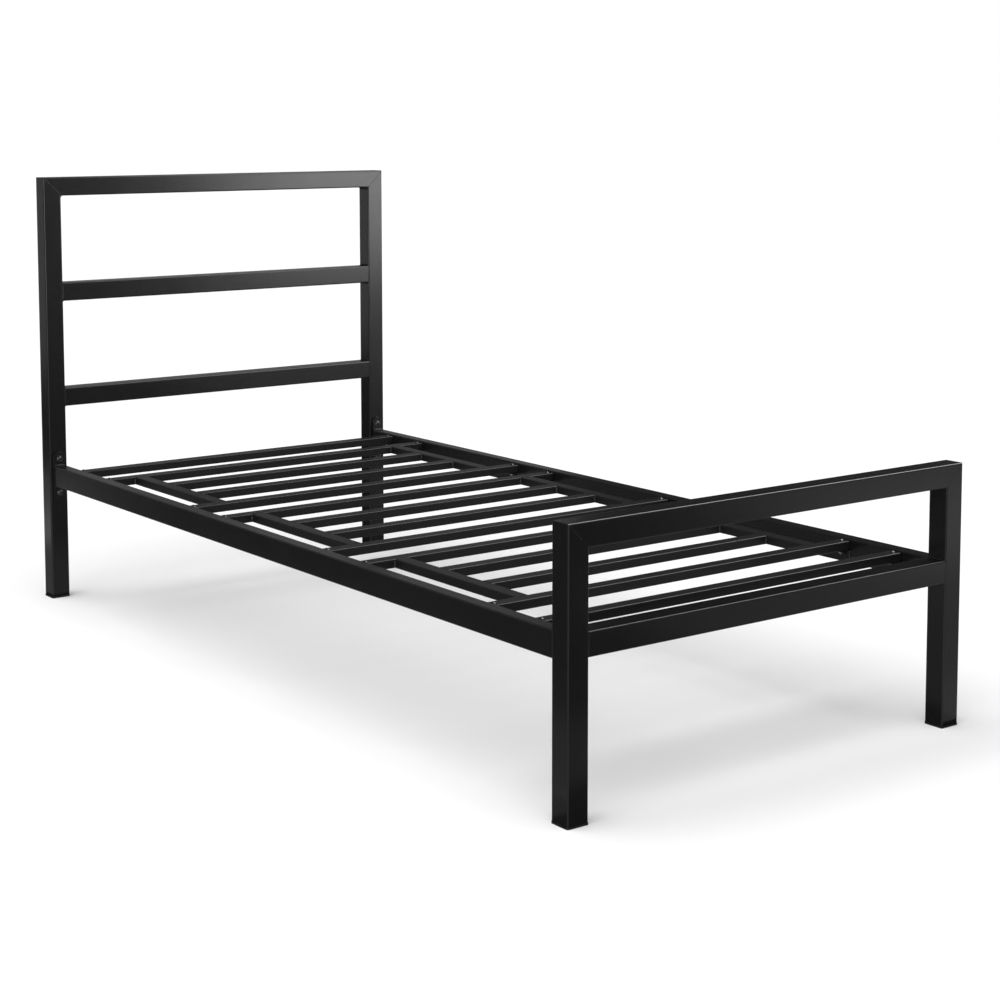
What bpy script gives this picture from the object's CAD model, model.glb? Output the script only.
"""Metal single bed frame: black powder-coated steel tube, welded and bolted.

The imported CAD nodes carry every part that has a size.  This script gives them their finishes and
adds what CAD leaves out: weld beads, ground mitre seams and the light a studio puts on satin black.
Units are metres, in the frame of the model: floor at z 0, +Y towards the headboard.
"""

import math

import bmesh
import bpy
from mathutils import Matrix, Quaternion, Vector


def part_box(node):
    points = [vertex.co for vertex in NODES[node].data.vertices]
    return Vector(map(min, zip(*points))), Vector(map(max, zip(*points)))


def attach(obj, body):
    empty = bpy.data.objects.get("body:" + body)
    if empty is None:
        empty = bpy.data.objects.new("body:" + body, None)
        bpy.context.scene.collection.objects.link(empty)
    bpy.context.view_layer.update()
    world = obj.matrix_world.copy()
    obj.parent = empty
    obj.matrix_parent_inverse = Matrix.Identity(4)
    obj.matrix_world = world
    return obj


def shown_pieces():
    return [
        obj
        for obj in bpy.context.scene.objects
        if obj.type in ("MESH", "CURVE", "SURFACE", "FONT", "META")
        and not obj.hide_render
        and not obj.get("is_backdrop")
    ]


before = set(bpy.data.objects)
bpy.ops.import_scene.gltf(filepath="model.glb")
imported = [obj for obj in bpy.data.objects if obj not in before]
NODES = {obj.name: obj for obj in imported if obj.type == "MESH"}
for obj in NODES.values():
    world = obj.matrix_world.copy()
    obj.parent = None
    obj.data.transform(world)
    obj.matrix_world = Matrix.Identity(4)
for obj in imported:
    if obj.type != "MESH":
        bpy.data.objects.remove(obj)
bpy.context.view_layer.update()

SCENE = bpy.context.scene
MM = 0.001
X = Vector((1, 0, 0))
Y = Vector((0, 1, 0))
Z = Vector((0, 0, 1))

# paint and plating: relief in metres, grain in features per metre
GRAIN_SCALE = 2600.0
PEEL_DEPTH = 0.030 * MM
GRAIN_DEPTH = 0.006 * MM
WELD_GRAIN_DEPTH = 0.008 * MM
TURNING_DEPTH = 0.030 * MM
CRYSTAL_DEPTH = 0.030 * MM
SPARK_DEPTH = 0.050 * MM

# broken edges of the end plates and brackets
BROKEN_EDGE = 0.45 * MM
SHARPEST_LEFT_ALONE = math.radians(40)

# weld beads
BEAD_STEPS = 7  # points across a bead
RIPPLE_PITCH = 2.2 * MM
RIPPLE_RISE = 0.17  # of the leg
BEAD_SUNK = 0.35 * MM  # how deep a fillet's root lies in the corner
SEAM_SUNK = 0.3 * MM
SEAM_STEP = 1.2 * MM
MITRE_SEAM = (2.6 * MM, 0.08 * MM)  # width and rise
BUTT_SEAM = (2.8 * MM, 0.12 * MM)
CORNER_RUN = 3.5 * MM  # beads stop where the end frames' tubes round away
SIDE_RAIL_RUN = 1.5 * MM
SLAT_RUN = 1.6 * MM
SIDE_RAIL_LEG = 4.2 * MM
BRACKET_LEG = 2.4 * MM
SLAT_LEG = 3.4 * MM

# slats, numbered from the head as the CAD nodes are
BRACKET_WIDTH = 30 * MM
FULL_SLATS = (1, 2, 5, 6, 9, 10, 13, 14)
SHORT_SLATS = (3, 4, 7, 8, 11, 12)

# the camera: place in metres, tilt and pan in degrees, lens in millimetres
CAMERA_PLACE = (-2.559635, -3.641616, 1.205888)
CAMERA_TILT = 5.7738
CAMERA_PAN = 37.1465
LENS = 73.379
SENSOR = 36.0
LENS_SHIFT = (-0.01895, -0.185)

FLOOR_RADIUS = 60.0


# ---------------------------------------------------------------- node helpers


class Nodes:
    """A node tree, built by short calls."""

    def __init__(self, tree):
        self.tree = tree
        self.place = self.add("ShaderNodeTexCoord")

    def add(self, kind, **settings):
        node = self.tree.nodes.new(kind)
        for key, value in settings.items():
            setattr(node, key, value)
        return node

    def link(self, source, target):
        self.tree.links.new(source, target)

    def feed(self, target, value):
        """Links a node's output to the socket, or sets the socket to a constant."""
        if isinstance(value, (int, float, tuple)):
            target.default_value = value
        else:
            self.link(value, target)

    def noise(self, scale, detail=2.0, roughness=0.5, stretch=None):
        """Noise in object space; scale is features per metre, stretch squeezes it along an axis."""
        node = self.add("ShaderNodeTexNoise")
        node.inputs["Scale"].default_value = scale
        node.inputs["Detail"].default_value = detail
        node.inputs["Roughness"].default_value = roughness
        if stretch:
            mapping = self.add("ShaderNodeMapping")
            mapping.inputs["Scale"].default_value = stretch
            self.link(self.place.outputs["Object"], mapping.inputs["Vector"])
            self.link(mapping.outputs["Vector"], node.inputs["Vector"])
        else:
            self.link(self.place.outputs["Object"], node.inputs["Vector"])
        return node.outputs["Fac"]

    def math(self, operation, a, b=0.0):
        node = self.add("ShaderNodeMath", operation=operation)
        self.feed(node.inputs[0], a)
        self.feed(node.inputs[1], b)
        return node.outputs[0]

    def ramp(self, value, low, high, out_low=0.0, out_high=1.0):
        """Maps value from low..high to out_low..out_high, clamped."""
        node = self.add("ShaderNodeMapRange")
        self.feed(node.inputs["Value"], value)
        node.inputs["From Min"].default_value = low
        node.inputs["From Max"].default_value = high
        self.feed(node.inputs["To Min"], out_low)
        self.feed(node.inputs["To Max"], out_high)
        return node.outputs["Result"]

    def mix(self, factor, dark, light):
        node = self.add("ShaderNodeMix", data_type="RGBA")
        self.feed(node.inputs["Factor"], factor)
        self.feed(node.inputs["A"], dark)
        self.feed(node.inputs["B"], light)
        return node.outputs["Result"]

    def bump(self, height, depth, under=None):
        """Bump of a real depth in metres, laid over another bump if one is given."""
        node = self.add("ShaderNodeBump")
        node.inputs["Strength"].default_value = 1.0
        node.inputs["Distance"].default_value = depth
        self.feed(node.inputs["Height"], height)
        if under is not None:
            self.link(under, node.inputs["Normal"])
        return node.outputs["Normal"]

    def edge_mask(self):
        """1 on the rounded corners of a square tube, 0 on its flat faces: how far the surface
        leans away from all three axes."""
        split = self.add("ShaderNodeSeparateXYZ")
        self.link(self.place.outputs["Normal"], split.inputs[0])
        leans = [self.math("ABSOLUTE", split.outputs[i]) for i in range(3)]
        flat = self.math("MAXIMUM", self.math("MAXIMUM", leans[0], leans[1]), leans[2])
        return self.ramp(self.math("SUBTRACT", 1.0, flat), 0.04, 0.26)


class Finish(Nodes):
    """A new material, with its shader at hand."""

    def __init__(self, name):
        self.material = bpy.data.materials.new(name)
        self.material.use_nodes = True
        super().__init__(self.material.node_tree)
        self.shader = self.tree.nodes["Principled BSDF"]


def grey(value):
    return (value, value, value * 1.01, 1.0)


# ---------------------------------------------------------------- materials


def powder_coat(name, tone, gloss, edge_tone, shine):
    """Satin black powder coat with orange peel, fine grain and thin paint on edges.  tone is the
    paint's reflectance, gloss its roughness, edge_tone the reflectance on the tubes' corners."""
    m = Finish(name)
    cloud = m.noise(5.0, 3.0, 0.55)
    flow = m.noise(34.0, 4.0, 0.6)
    grain = m.noise(GRAIN_SCALE, 2.0, 0.6)
    peel = m.noise(430.0, 2.0, 0.45)

    # colour: slow drift in film thickness, a fine salt of lighter grains, thinner film on edges
    drift = m.math("ADD", m.math("MULTIPLY", cloud, 0.65), m.math("MULTIPLY", flow, 0.35))
    base = m.mix(m.ramp(drift, 0.35, 0.65), grey(tone * 0.92), grey(tone * 1.1))
    salted = m.mix(m.ramp(grain, 0.62, 0.74, 0.0, 0.35), base, grey(tone * 2.6))
    rubbed = m.ramp(m.noise(90.0, 4.0, 0.7), 0.36, 0.62, 0.35, 1.0)
    worn = m.math("MULTIPLY", m.edge_mask(), rubbed)
    m.link(m.mix(worn, salted, grey(edge_tone)), m.shader.inputs["Base Color"])

    # gloss: satin with slow patches, a little shinier where hands polish the edges
    patches = m.ramp(drift, 0.35, 0.65, gloss - 0.012, gloss + 0.012)
    fine = m.ramp(grain, 0.3, 0.7, -0.02, 0.02)
    satin = m.math("ADD", patches, fine)
    m.link(m.math("SUBTRACT", satin, m.math("MULTIPLY", worn, 0.08)), m.shader.inputs["Roughness"])
    m.shader.inputs["Specular IOR Level"].default_value = shine

    # relief: orange peel of about 2 mm, under a grain of 0.4 mm
    soft = m.bump(peel, PEEL_DEPTH)
    m.link(m.bump(grain, GRAIN_DEPTH, under=soft), m.shader.inputs["Normal"])
    return m.material


def black_oxide(name):
    """Blackened screw heads: darker than the paint, shinier, with faint turning marks."""
    m = Finish(name)
    blotch = m.noise(240.0, 4.0, 0.6)
    turning = m.noise(1400.0, 2.0, 0.5, stretch=(1.0, 1.0, 3.0))
    m.link(m.mix(m.ramp(blotch, 0.38, 0.62), grey(0.06), grey(0.12)), m.shader.inputs["Base Color"])
    m.link(m.ramp(blotch, 0.35, 0.65, 0.24, 0.34), m.shader.inputs["Roughness"])
    m.shader.inputs["Metallic"].default_value = 0.85
    m.link(m.bump(turning, TURNING_DEPTH), m.shader.inputs["Normal"])
    return m.material


def zinc_plate(name):
    """Bright zinc on the nuts: bluish grey with crystalline patches."""
    m = Finish(name)
    crystal = m.add("ShaderNodeTexVoronoi")
    crystal.inputs["Scale"].default_value = 700.0
    m.link(m.place.outputs["Object"], crystal.inputs["Vector"])
    dull = m.noise(320.0, 4.0, 0.6)
    shade = m.mix(m.ramp(dull, 0.35, 0.65), (0.30, 0.32, 0.34, 1.0), (0.52, 0.54, 0.56, 1.0))
    m.link(shade, m.shader.inputs["Base Color"])
    m.link(m.ramp(crystal.outputs["Distance"], 0.0, 0.7, 0.28, 0.45), m.shader.inputs["Roughness"])
    m.shader.inputs["Metallic"].default_value = 1.0
    m.link(m.bump(dull, CRYSTAL_DEPTH), m.shader.inputs["Normal"])
    return m.material


def cap_plastic(name):
    """Moulded polyethylene foot caps: matt black with spark texture and scuffs near the floor."""
    m = Finish(name)
    spark = m.noise(1500.0, 3.0, 0.6)
    scuff = m.noise(60.0, 5.0, 0.7, stretch=(1.0, 1.0, 4.0))
    m.link(m.mix(m.ramp(scuff, 0.5, 0.7), grey(0.009), grey(0.028)), m.shader.inputs["Base Color"])
    m.link(m.ramp(scuff, 0.4, 0.7, 0.52, 0.66), m.shader.inputs["Roughness"])
    m.shader.inputs["Specular IOR Level"].default_value = 0.4
    m.link(m.bump(spark, SPARK_DEPTH), m.shader.inputs["Normal"])
    return m.material


def weld_coat(name, tone):
    """The same powder coat over a bead, a little glossier and without the tubes' edge wear."""
    m = Finish(name)
    flow = m.noise(120.0, 3.0, 0.6)
    grain = m.noise(GRAIN_SCALE, 2.0, 0.6)
    shade = m.mix(m.ramp(flow, 0.35, 0.65), grey(tone * 0.8), grey(tone * 1.5))
    m.link(shade, m.shader.inputs["Base Color"])
    m.link(m.ramp(flow, 0.3, 0.7, 0.15, 0.24), m.shader.inputs["Roughness"])
    m.link(m.bump(grain, WELD_GRAIN_DEPTH), m.shader.inputs["Normal"])
    return m.material


FINISHES = {
    "frame_paint": powder_coat("frame_powder_coat", 0.0080, 0.215, 0.016, 0.50),
    "rail_paint": powder_coat("rail_powder_coat", 0.0088, 0.24, 0.016, 0.46),
    "slat_paint": powder_coat("slat_powder_coat", 0.0120, 0.34, 0.018, 0.40),
    "bolt_black": black_oxide("screw_black_oxide"),
    "zinc_steel": zinc_plate("nut_zinc"),
    "cap_plastic": cap_plastic("foot_cap_polyethylene"),
}
WELD_FINISH = {
    "frame_paint": weld_coat("frame_weld_coat", 0.013),
    "rail_paint": weld_coat("rail_weld_coat", 0.013),
    "slat_paint": weld_coat("slat_weld_coat", 0.014),
}


def dress_cad_nodes():
    """Each CAD node keeps its shape and takes its slot's finish."""
    for node in NODES.values():
        for place in node.material_slots:
            place.material = FINISHES[place.material.name.split(".")[0]]


def soften_edges(names):
    """Cut and stamped parts get the small broken edge that paint leaves on them."""
    for name in names:
        node = NODES[name]
        weld = node.modifiers.new("join_corners", "WELD")
        weld.merge_threshold = 0.01 * MM
        bevel = node.modifiers.new("broken_edge", "BEVEL")
        bevel.width = BROKEN_EDGE
        bevel.segments = 3
        bevel.limit_method = "ANGLE"
        bevel.angle_limit = SHARPEST_LEFT_ALONE
        bevel.harden_normals = False
        node.modifiers.new("flat_faces", "WEIGHTED_NORMAL")


# ---------------------------------------------------------------- weld beads


def fillet_bead(bm, start, end, side_a, side_b, leg, phase=0.0):
    """A weld bead along the corner from start to end.  side_a and side_b point from the corner along
    the two faces that it joins.  Its ripples lean back like a row of pushed coins."""
    length = (end - start).length
    along = (end - start) / length
    rings = max(10, int(length / RIPPLE_PITCH * 4))
    loops = []
    for i in range(rings + 1):
        s = i / rings * length
        from_end = min(s, length - s)
        taper = math.sqrt(min(1.0, from_end / leg + 0.08))
        ring = [start + along * s - (side_a + side_b) * BEAD_SUNK]
        for j in range(BEAD_STEPS):
            turn = j / (BEAD_STEPS - 1) * math.pi / 2
            lean = 0.35 * leg * math.sin(2 * turn)
            wave = math.sin(2 * math.pi * (s - lean) / RIPPLE_PITCH + phase)
            bulge = 1.0 - 0.20 * math.sin(2 * turn) + RIPPLE_RISE * wave * math.sin(2 * turn)
            reach = leg * taper * bulge
            ring.append(start + along * s + side_a * reach * math.cos(turn)
                        + side_b * reach * math.sin(turn))
        loops.append([bm.verts.new(p) for p in ring])
    close_rings(bm, loops)


def seam_bead(bm, start, end, out, size):
    """A seam ground almost flush: a low ridge along the joint, out of the face, of size
    (width, rise)."""
    width, rise = size
    length = (end - start).length
    along = (end - start) / length
    across = out.cross(along)
    rings = max(12, int(length / SEAM_STEP))
    loops = []
    for i in range(rings + 1):
        s = i / rings * length
        taper = math.sqrt(min(1.0, min(s, length - s) / width + 0.05))
        wander = 0.12 * width * math.sin(s * 310.0) + 0.07 * width * math.sin(s * 820.0)
        ring = [start + along * s - out * SEAM_SUNK]
        for j in range(BEAD_STEPS):
            u = j / (BEAD_STEPS - 1) * 2 - 1
            uneven = 1 + 0.15 * math.sin(s * 1900.0)
            lift = rise * (1 - u * u) * taper * uneven - 0.05 * MM * abs(u)
            aside = u * width / 2 * taper + wander
            ring.append(start + along * s + across * aside + out * lift)
        loops.append([bm.verts.new(p) for p in ring])
    close_rings(bm, loops)


def close_rings(bm, loops):
    """Skins the rings into one closed bead."""
    count = len(loops[0])
    for low, high in zip(loops, loops[1:]):
        for j in range(count):
            k = (j + 1) % count
            bm.faces.new((low[j], low[k], high[k], high[j]))
    bm.faces.new(loops[0][::-1])
    bm.faces.new(loops[-1])


def weld_piece(name, slot, draw):
    """One piece that holds every bead that draw adds, in the paint of its slot."""
    bm = bmesh.new()
    draw(bm)
    bmesh.ops.recalc_face_normals(bm, faces=bm.faces)
    mesh = bpy.data.meshes.new(name)
    bm.to_mesh(mesh)
    bm.free()
    mesh.shade_smooth()
    piece = bpy.data.objects.new(name, mesh)
    SCENE.collection.objects.link(piece)
    mesh.materials.append(WELD_FINISH[slot])
    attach(piece, "root")


def end_frame_welds(prefix, rails, mitre_leg, rail_leg):
    """Beads of one end frame: in the window corners, and ground seams on its front and back."""
    post_low, post_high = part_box(prefix + "_post_left")
    inner = post_high.x
    outer = post_low.x
    near, far = post_low.y, post_high.y
    top = post_high.z
    tube = inner - outer
    run = CORNER_RUN

    def draw(bm):
        for side in (1, -1):
            face = Vector((inner * side, 0, 0))
            inward = X * side
            corners = [(top - tube, -Z, mitre_leg)]
            for rail in rails:
                low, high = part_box(rail)
                corners.append((low.z, -Z, rail_leg))
                corners.append((high.z, Z, rail_leg))
                for y, out in ((near, -Y), (far, Y)):
                    foot = face + Y * y + Z * (low.z + run)
                    seam_bead(bm, foot, face + Y * y + Z * (high.z - run), out, BUTT_SEAM)
            for z, down, leg in corners:
                at = face + Z * z
                fillet_bead(bm, at + Y * (near + run), at + Y * (far - run), inward, down, leg, z * 50)
            for y, out in ((near, -Y), (far, Y)):
                high_end = Vector((outer * side, y, top)) + (inward - Z) * run
                low_end = Vector((inner * side, y, top - tube)) - (inward - Z) * 0.6 * MM
                seam_bead(bm, high_end, low_end, out, MITRE_SEAM)

    weld_piece(prefix + "_welds", "frame_paint", draw)


def side_rail_welds(side, sign):
    """Where a side rail meets its end plates: one bead over it and one under it at each end."""
    low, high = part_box("side_rail_" + side)

    def draw(bm):
        for y, inward in ((low.y, Y), (high.y, -Y)):
            for z, up in ((high.z, Z), (low.z, -Z)):
                start = Vector((low.x + SIDE_RAIL_RUN, y, z))
                end = Vector((high.x - SIDE_RAIL_RUN, y, z))
                fillet_bead(bm, start, end, inward, up, SIDE_RAIL_LEG, sign + y)

    weld_piece("side_rail_welds_" + side, "rail_paint", draw)


def bracket_welds(side, sign):
    """Two short upright beads hold each slat bracket to the rail's inner face."""
    low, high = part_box("slat_brackets_" + side)
    rail_low, rail_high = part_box("side_rail_" + side)
    face = rail_low.x if sign > 0 else rail_high.x
    half = BRACKET_WIDTH / 2

    def draw(bm):
        for y in FULL_SLATS_Y:
            for end in (1, -1):
                foot = Vector((face, y + end * half, low.z + 1.5 * MM))
                head = Vector((face, y + end * half, high.z - 1.0 * MM))
                fillet_bead(bm, foot, head, -X * sign, Y * end, BRACKET_LEG, y * 70)

    weld_piece("bracket_welds_" + side, "rail_paint", draw)


def middle_y(node):
    low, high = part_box(node)
    return (low.y + high.y) / 2


FULL_SLATS_Y = [middle_y(f"slat_{i}") for i in FULL_SLATS]


def slat_panel_welds(panel):
    """The beads of one welded panel: short slats to their bars, and bars to the full slats."""

    def draw(bm):
        for side, sign in (("left", -1), ("right", 1)):
            low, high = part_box(f"slat_bar_{panel}_{side}")
            inner = low.x if sign > 0 else high.x
            bottom, top = low.z + SLAT_RUN, high.z - SLAT_RUN
            for i in SHORT_SLATS[2 * panel - 2 : 2 * panel]:
                slat_low, slat_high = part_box(f"slat_{i}")
                for y, away in ((slat_low.y, -Y), (slat_high.y, Y)):
                    foot = Vector((inner, y, bottom))
                    fillet_bead(bm, foot, Vector((inner, y, top)), -X * sign, away, SLAT_LEG, y * 90)
            for y, away in ((low.y, Y), (high.y, -Y)):
                for x, out in ((low.x, -X), (high.x, X)):
                    foot = Vector((x, y, bottom))
                    fillet_bead(bm, foot, Vector((x, y, top)), out, away, SLAT_LEG, x * 80)

    weld_piece(f"slat_panel_welds_{panel}", "slat_paint", draw)


# ---------------------------------------------------------------- stage


def studio_floor():
    """A pale matt floor, far wider than the picture, which mirror reflections don't see."""
    bm = bmesh.new()
    bmesh.ops.create_circle(bm, cap_ends=True, radius=FLOOR_RADIUS, segments=96)
    mesh = bpy.data.meshes.new("floor")
    bm.to_mesh(mesh)
    bm.free()
    floor = bpy.data.objects.new("floor", mesh)
    SCENE.collection.objects.link(floor)
    m = Finish("studio_floor")
    m.link(m.ramp(m.noise(3.0, 2.0), 0.3, 0.7, 0.80, 0.84), m.shader.inputs["Roughness"])
    m.shader.inputs["Base Color"].default_value = (0.84, 0.84, 0.84, 1.0)
    m.shader.inputs["Specular IOR Level"].default_value = 0.0
    mesh.materials.append(m.material)
    floor.visible_glossy = False
    floor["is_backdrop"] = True
    return floor


def world_light(dim, bright):
    """White behind the object for the camera.  For every other ray it is a room whose opposite
    quarters are dim and bright, which swap at the horizon, so that faces side by side differ."""
    world = bpy.data.worlds.new("studio")
    world.use_nodes = True
    SCENE.world = world
    m = Nodes(world.node_tree)
    split = m.add("ShaderNodeSeparateXYZ")
    m.link(m.place.outputs["Generated"], split.inputs[0])
    x, y, z = split.outputs

    # x y / (x x + y y) is +0.5 and -0.5 in the middle of opposite pairs of quarters
    flat = m.math("ADD", m.math("MULTIPLY", x, x), m.math("MULTIPLY", y, y))
    quarter = m.math("DIVIDE", m.math("MULTIPLY", x, y), m.math("ADD", flat, 0.001))
    swapped = m.math("MULTIPLY", quarter, m.ramp(z, 0.0, 0.1, -1.0, 1.0))
    glow = m.ramp(m.math("ABSOLUTE", z), 0.0, 0.8, bright, bright * 0.3)
    room = m.ramp(swapped, 0.10, 0.27, glow, dim)

    seen = m.add("ShaderNodeLightPath").outputs["Is Camera Ray"]
    background = m.tree.nodes["Background"]
    background.inputs["Color"].default_value = (1.0, 1.0, 1.0, 1.0)
    m.link(m.ramp(seen, 0.0, 1.0, room, 1.0), background.inputs["Strength"])


def only(name, items):
    """A collection of the objects that a light is to reach."""
    group = bpy.data.collections.new(name)
    for item in items:
        group.objects.link(item)
    return group


def area_light(name, lit, place, turn, size, power):
    """A rectangular light that shines on one collection and stays out of the camera's sight."""
    lamp = bpy.data.lights.new(name, "AREA")
    lamp.shape = "RECTANGLE"
    lamp.size, lamp.size_y = size
    lamp.energy = power
    box = bpy.data.objects.new(name, lamp)
    SCENE.collection.objects.link(box)
    box.location = place
    box.rotation_mode = "QUATERNION"
    box.rotation_quaternion = turn
    box.visible_camera = False
    box.light_linking.receiver_collection = lit


def softbox(name, lit, place, target, size, power):
    """A softbox of size (width, height) that faces the target."""
    turn = (Vector(target) - Vector(place)).to_track_quat("-Z", "Y")
    area_light(name, lit, place, turn, size, power)


def floor_glow(name, lit, place, size, power, spin=0.0):
    """A patch of lit floor of size (x, y), as the sides of the tubes mirror it.  spin turns it
    about +Z, in degrees."""
    turn = Quaternion(Z, math.radians(spin)) @ Quaternion(X, math.pi)
    area_light(name, lit, (*place, 0.01), turn, size, power)


def sky_panel(floor, strength, spread):
    """A very wide overhead light: it whitens the floor and leaves a soft shadow under the bed."""
    lamp = bpy.data.lights.new("overhead", "SUN")
    lamp.energy = strength
    lamp.angle = math.radians(spread)
    panel = bpy.data.objects.new("overhead", lamp)
    SCENE.collection.objects.link(panel)
    panel.rotation_mode = "QUATERNION"
    panel.rotation_quaternion = Vector((2.0, 0.5, -6.0)).to_track_quat("-Z", "Y")
    panel.visible_glossy = False
    panel.light_linking.receiver_collection = only("floor_only", [floor])


def camera():
    lens = bpy.data.cameras.new("camera")
    lens.lens = LENS
    lens.sensor_width = SENSOR
    lens.shift_x, lens.shift_y = LENS_SHIFT
    lens.clip_start, lens.clip_end = 0.05, 200.0
    cam = bpy.data.objects.new("camera", lens)
    SCENE.collection.objects.link(cam)
    cam.location = CAMERA_PLACE
    cam.rotation_euler = (math.radians(90 - CAMERA_TILT), 0.0, math.radians(-CAMERA_PAN))
    SCENE.camera = cam


def lights(floor):
    """The floor has a light of its own, so that the softboxes shape the black tubes alone.  One
    softbox reaches only the headboard: it would burn out the footboard's top from behind."""
    bed = only("bed_only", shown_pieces())
    head_parts = ("headboard", "end_plate_head", "rail_bolts")
    head = only("headboard_only", [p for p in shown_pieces() if p.name.startswith(head_parts)])
    world_light(0.018, 0.42)
    sky_panel(floor, 3.85, 76.0)
    softbox("top_right", bed, (2.5, -0.7, 3.2), (2.3, -0.7, 0.0), (2.4, 3.2), 130.0)
    softbox("front_right", head, (3.50, -3.7, 1.12), (0.3, 1.0, 0.8), (1.5, 1.4), 40.0)
    softbox("front_left", bed, (-4.0, -2.6, 1.3), (-0.4, 0.0, 0.5), (2.0, 2.4), 80.0)
    softbox("back_glow", bed, (3.35, 6.1, 1.95), (3.35, 0.0, 1.95), (3.7, 1.5), 4.4)
    softbox("back_left", bed, (-1.5, 4.5, 0.6), (0.3, 1.0, 0.8), (0.8, 1.0), 1.6)
    floor_glow("glow_head_left", bed, (-0.94, 2.1), (0.22, 1.15), 0.32, spin=23.5)
    floor_glow("glow_foot_left", bed, (-0.72, -0.75), (0.3, 0.5), 0.08)
    floor_glow("glow_foot_front", bed, (-0.1, -1.35), (1.0, 0.3), 0.15)
    floor_glow("glow_foot_right", bed, (1.1, -1.65), (1.3, 1.2), 1.4)
    floor_glow("glow_far_right", bed, (2.5, -2.6), (2.0, 1.2), 5.5)
    floor_glow("glow_right", bed, (1.05, -0.20), (1.1, 2.1), 0.8)
    floor_glow("glow_under_head", bed, (-0.60, 0.8), (0.7, 2.4), 1.0)
    floor_glow("glow_under_foot", bed, (-0.12, -0.6), (0.95, 0.8), 0.3)


# ---------------------------------------------------------------- build

dress_cad_nodes()
soften_edges([name for name in NODES if name.startswith(("end_plate_", "slat_brackets_"))])

end_frame_welds("headboard", ("headboard_upper_middle_rail", "headboard_lower_middle_rail"),
                6.0 * MM, 4.0 * MM)
end_frame_welds("footboard", ("footboard_lower_rail",), 3.2 * MM, 3.2 * MM)
for side, sign in (("left", -1), ("right", 1)):
    side_rail_welds(side, sign)
    bracket_welds(side, sign)
for panel in (1, 2, 3):
    slat_panel_welds(panel)

lights(studio_floor())
camera()
SCENE.view_settings.view_transform = "Standard"
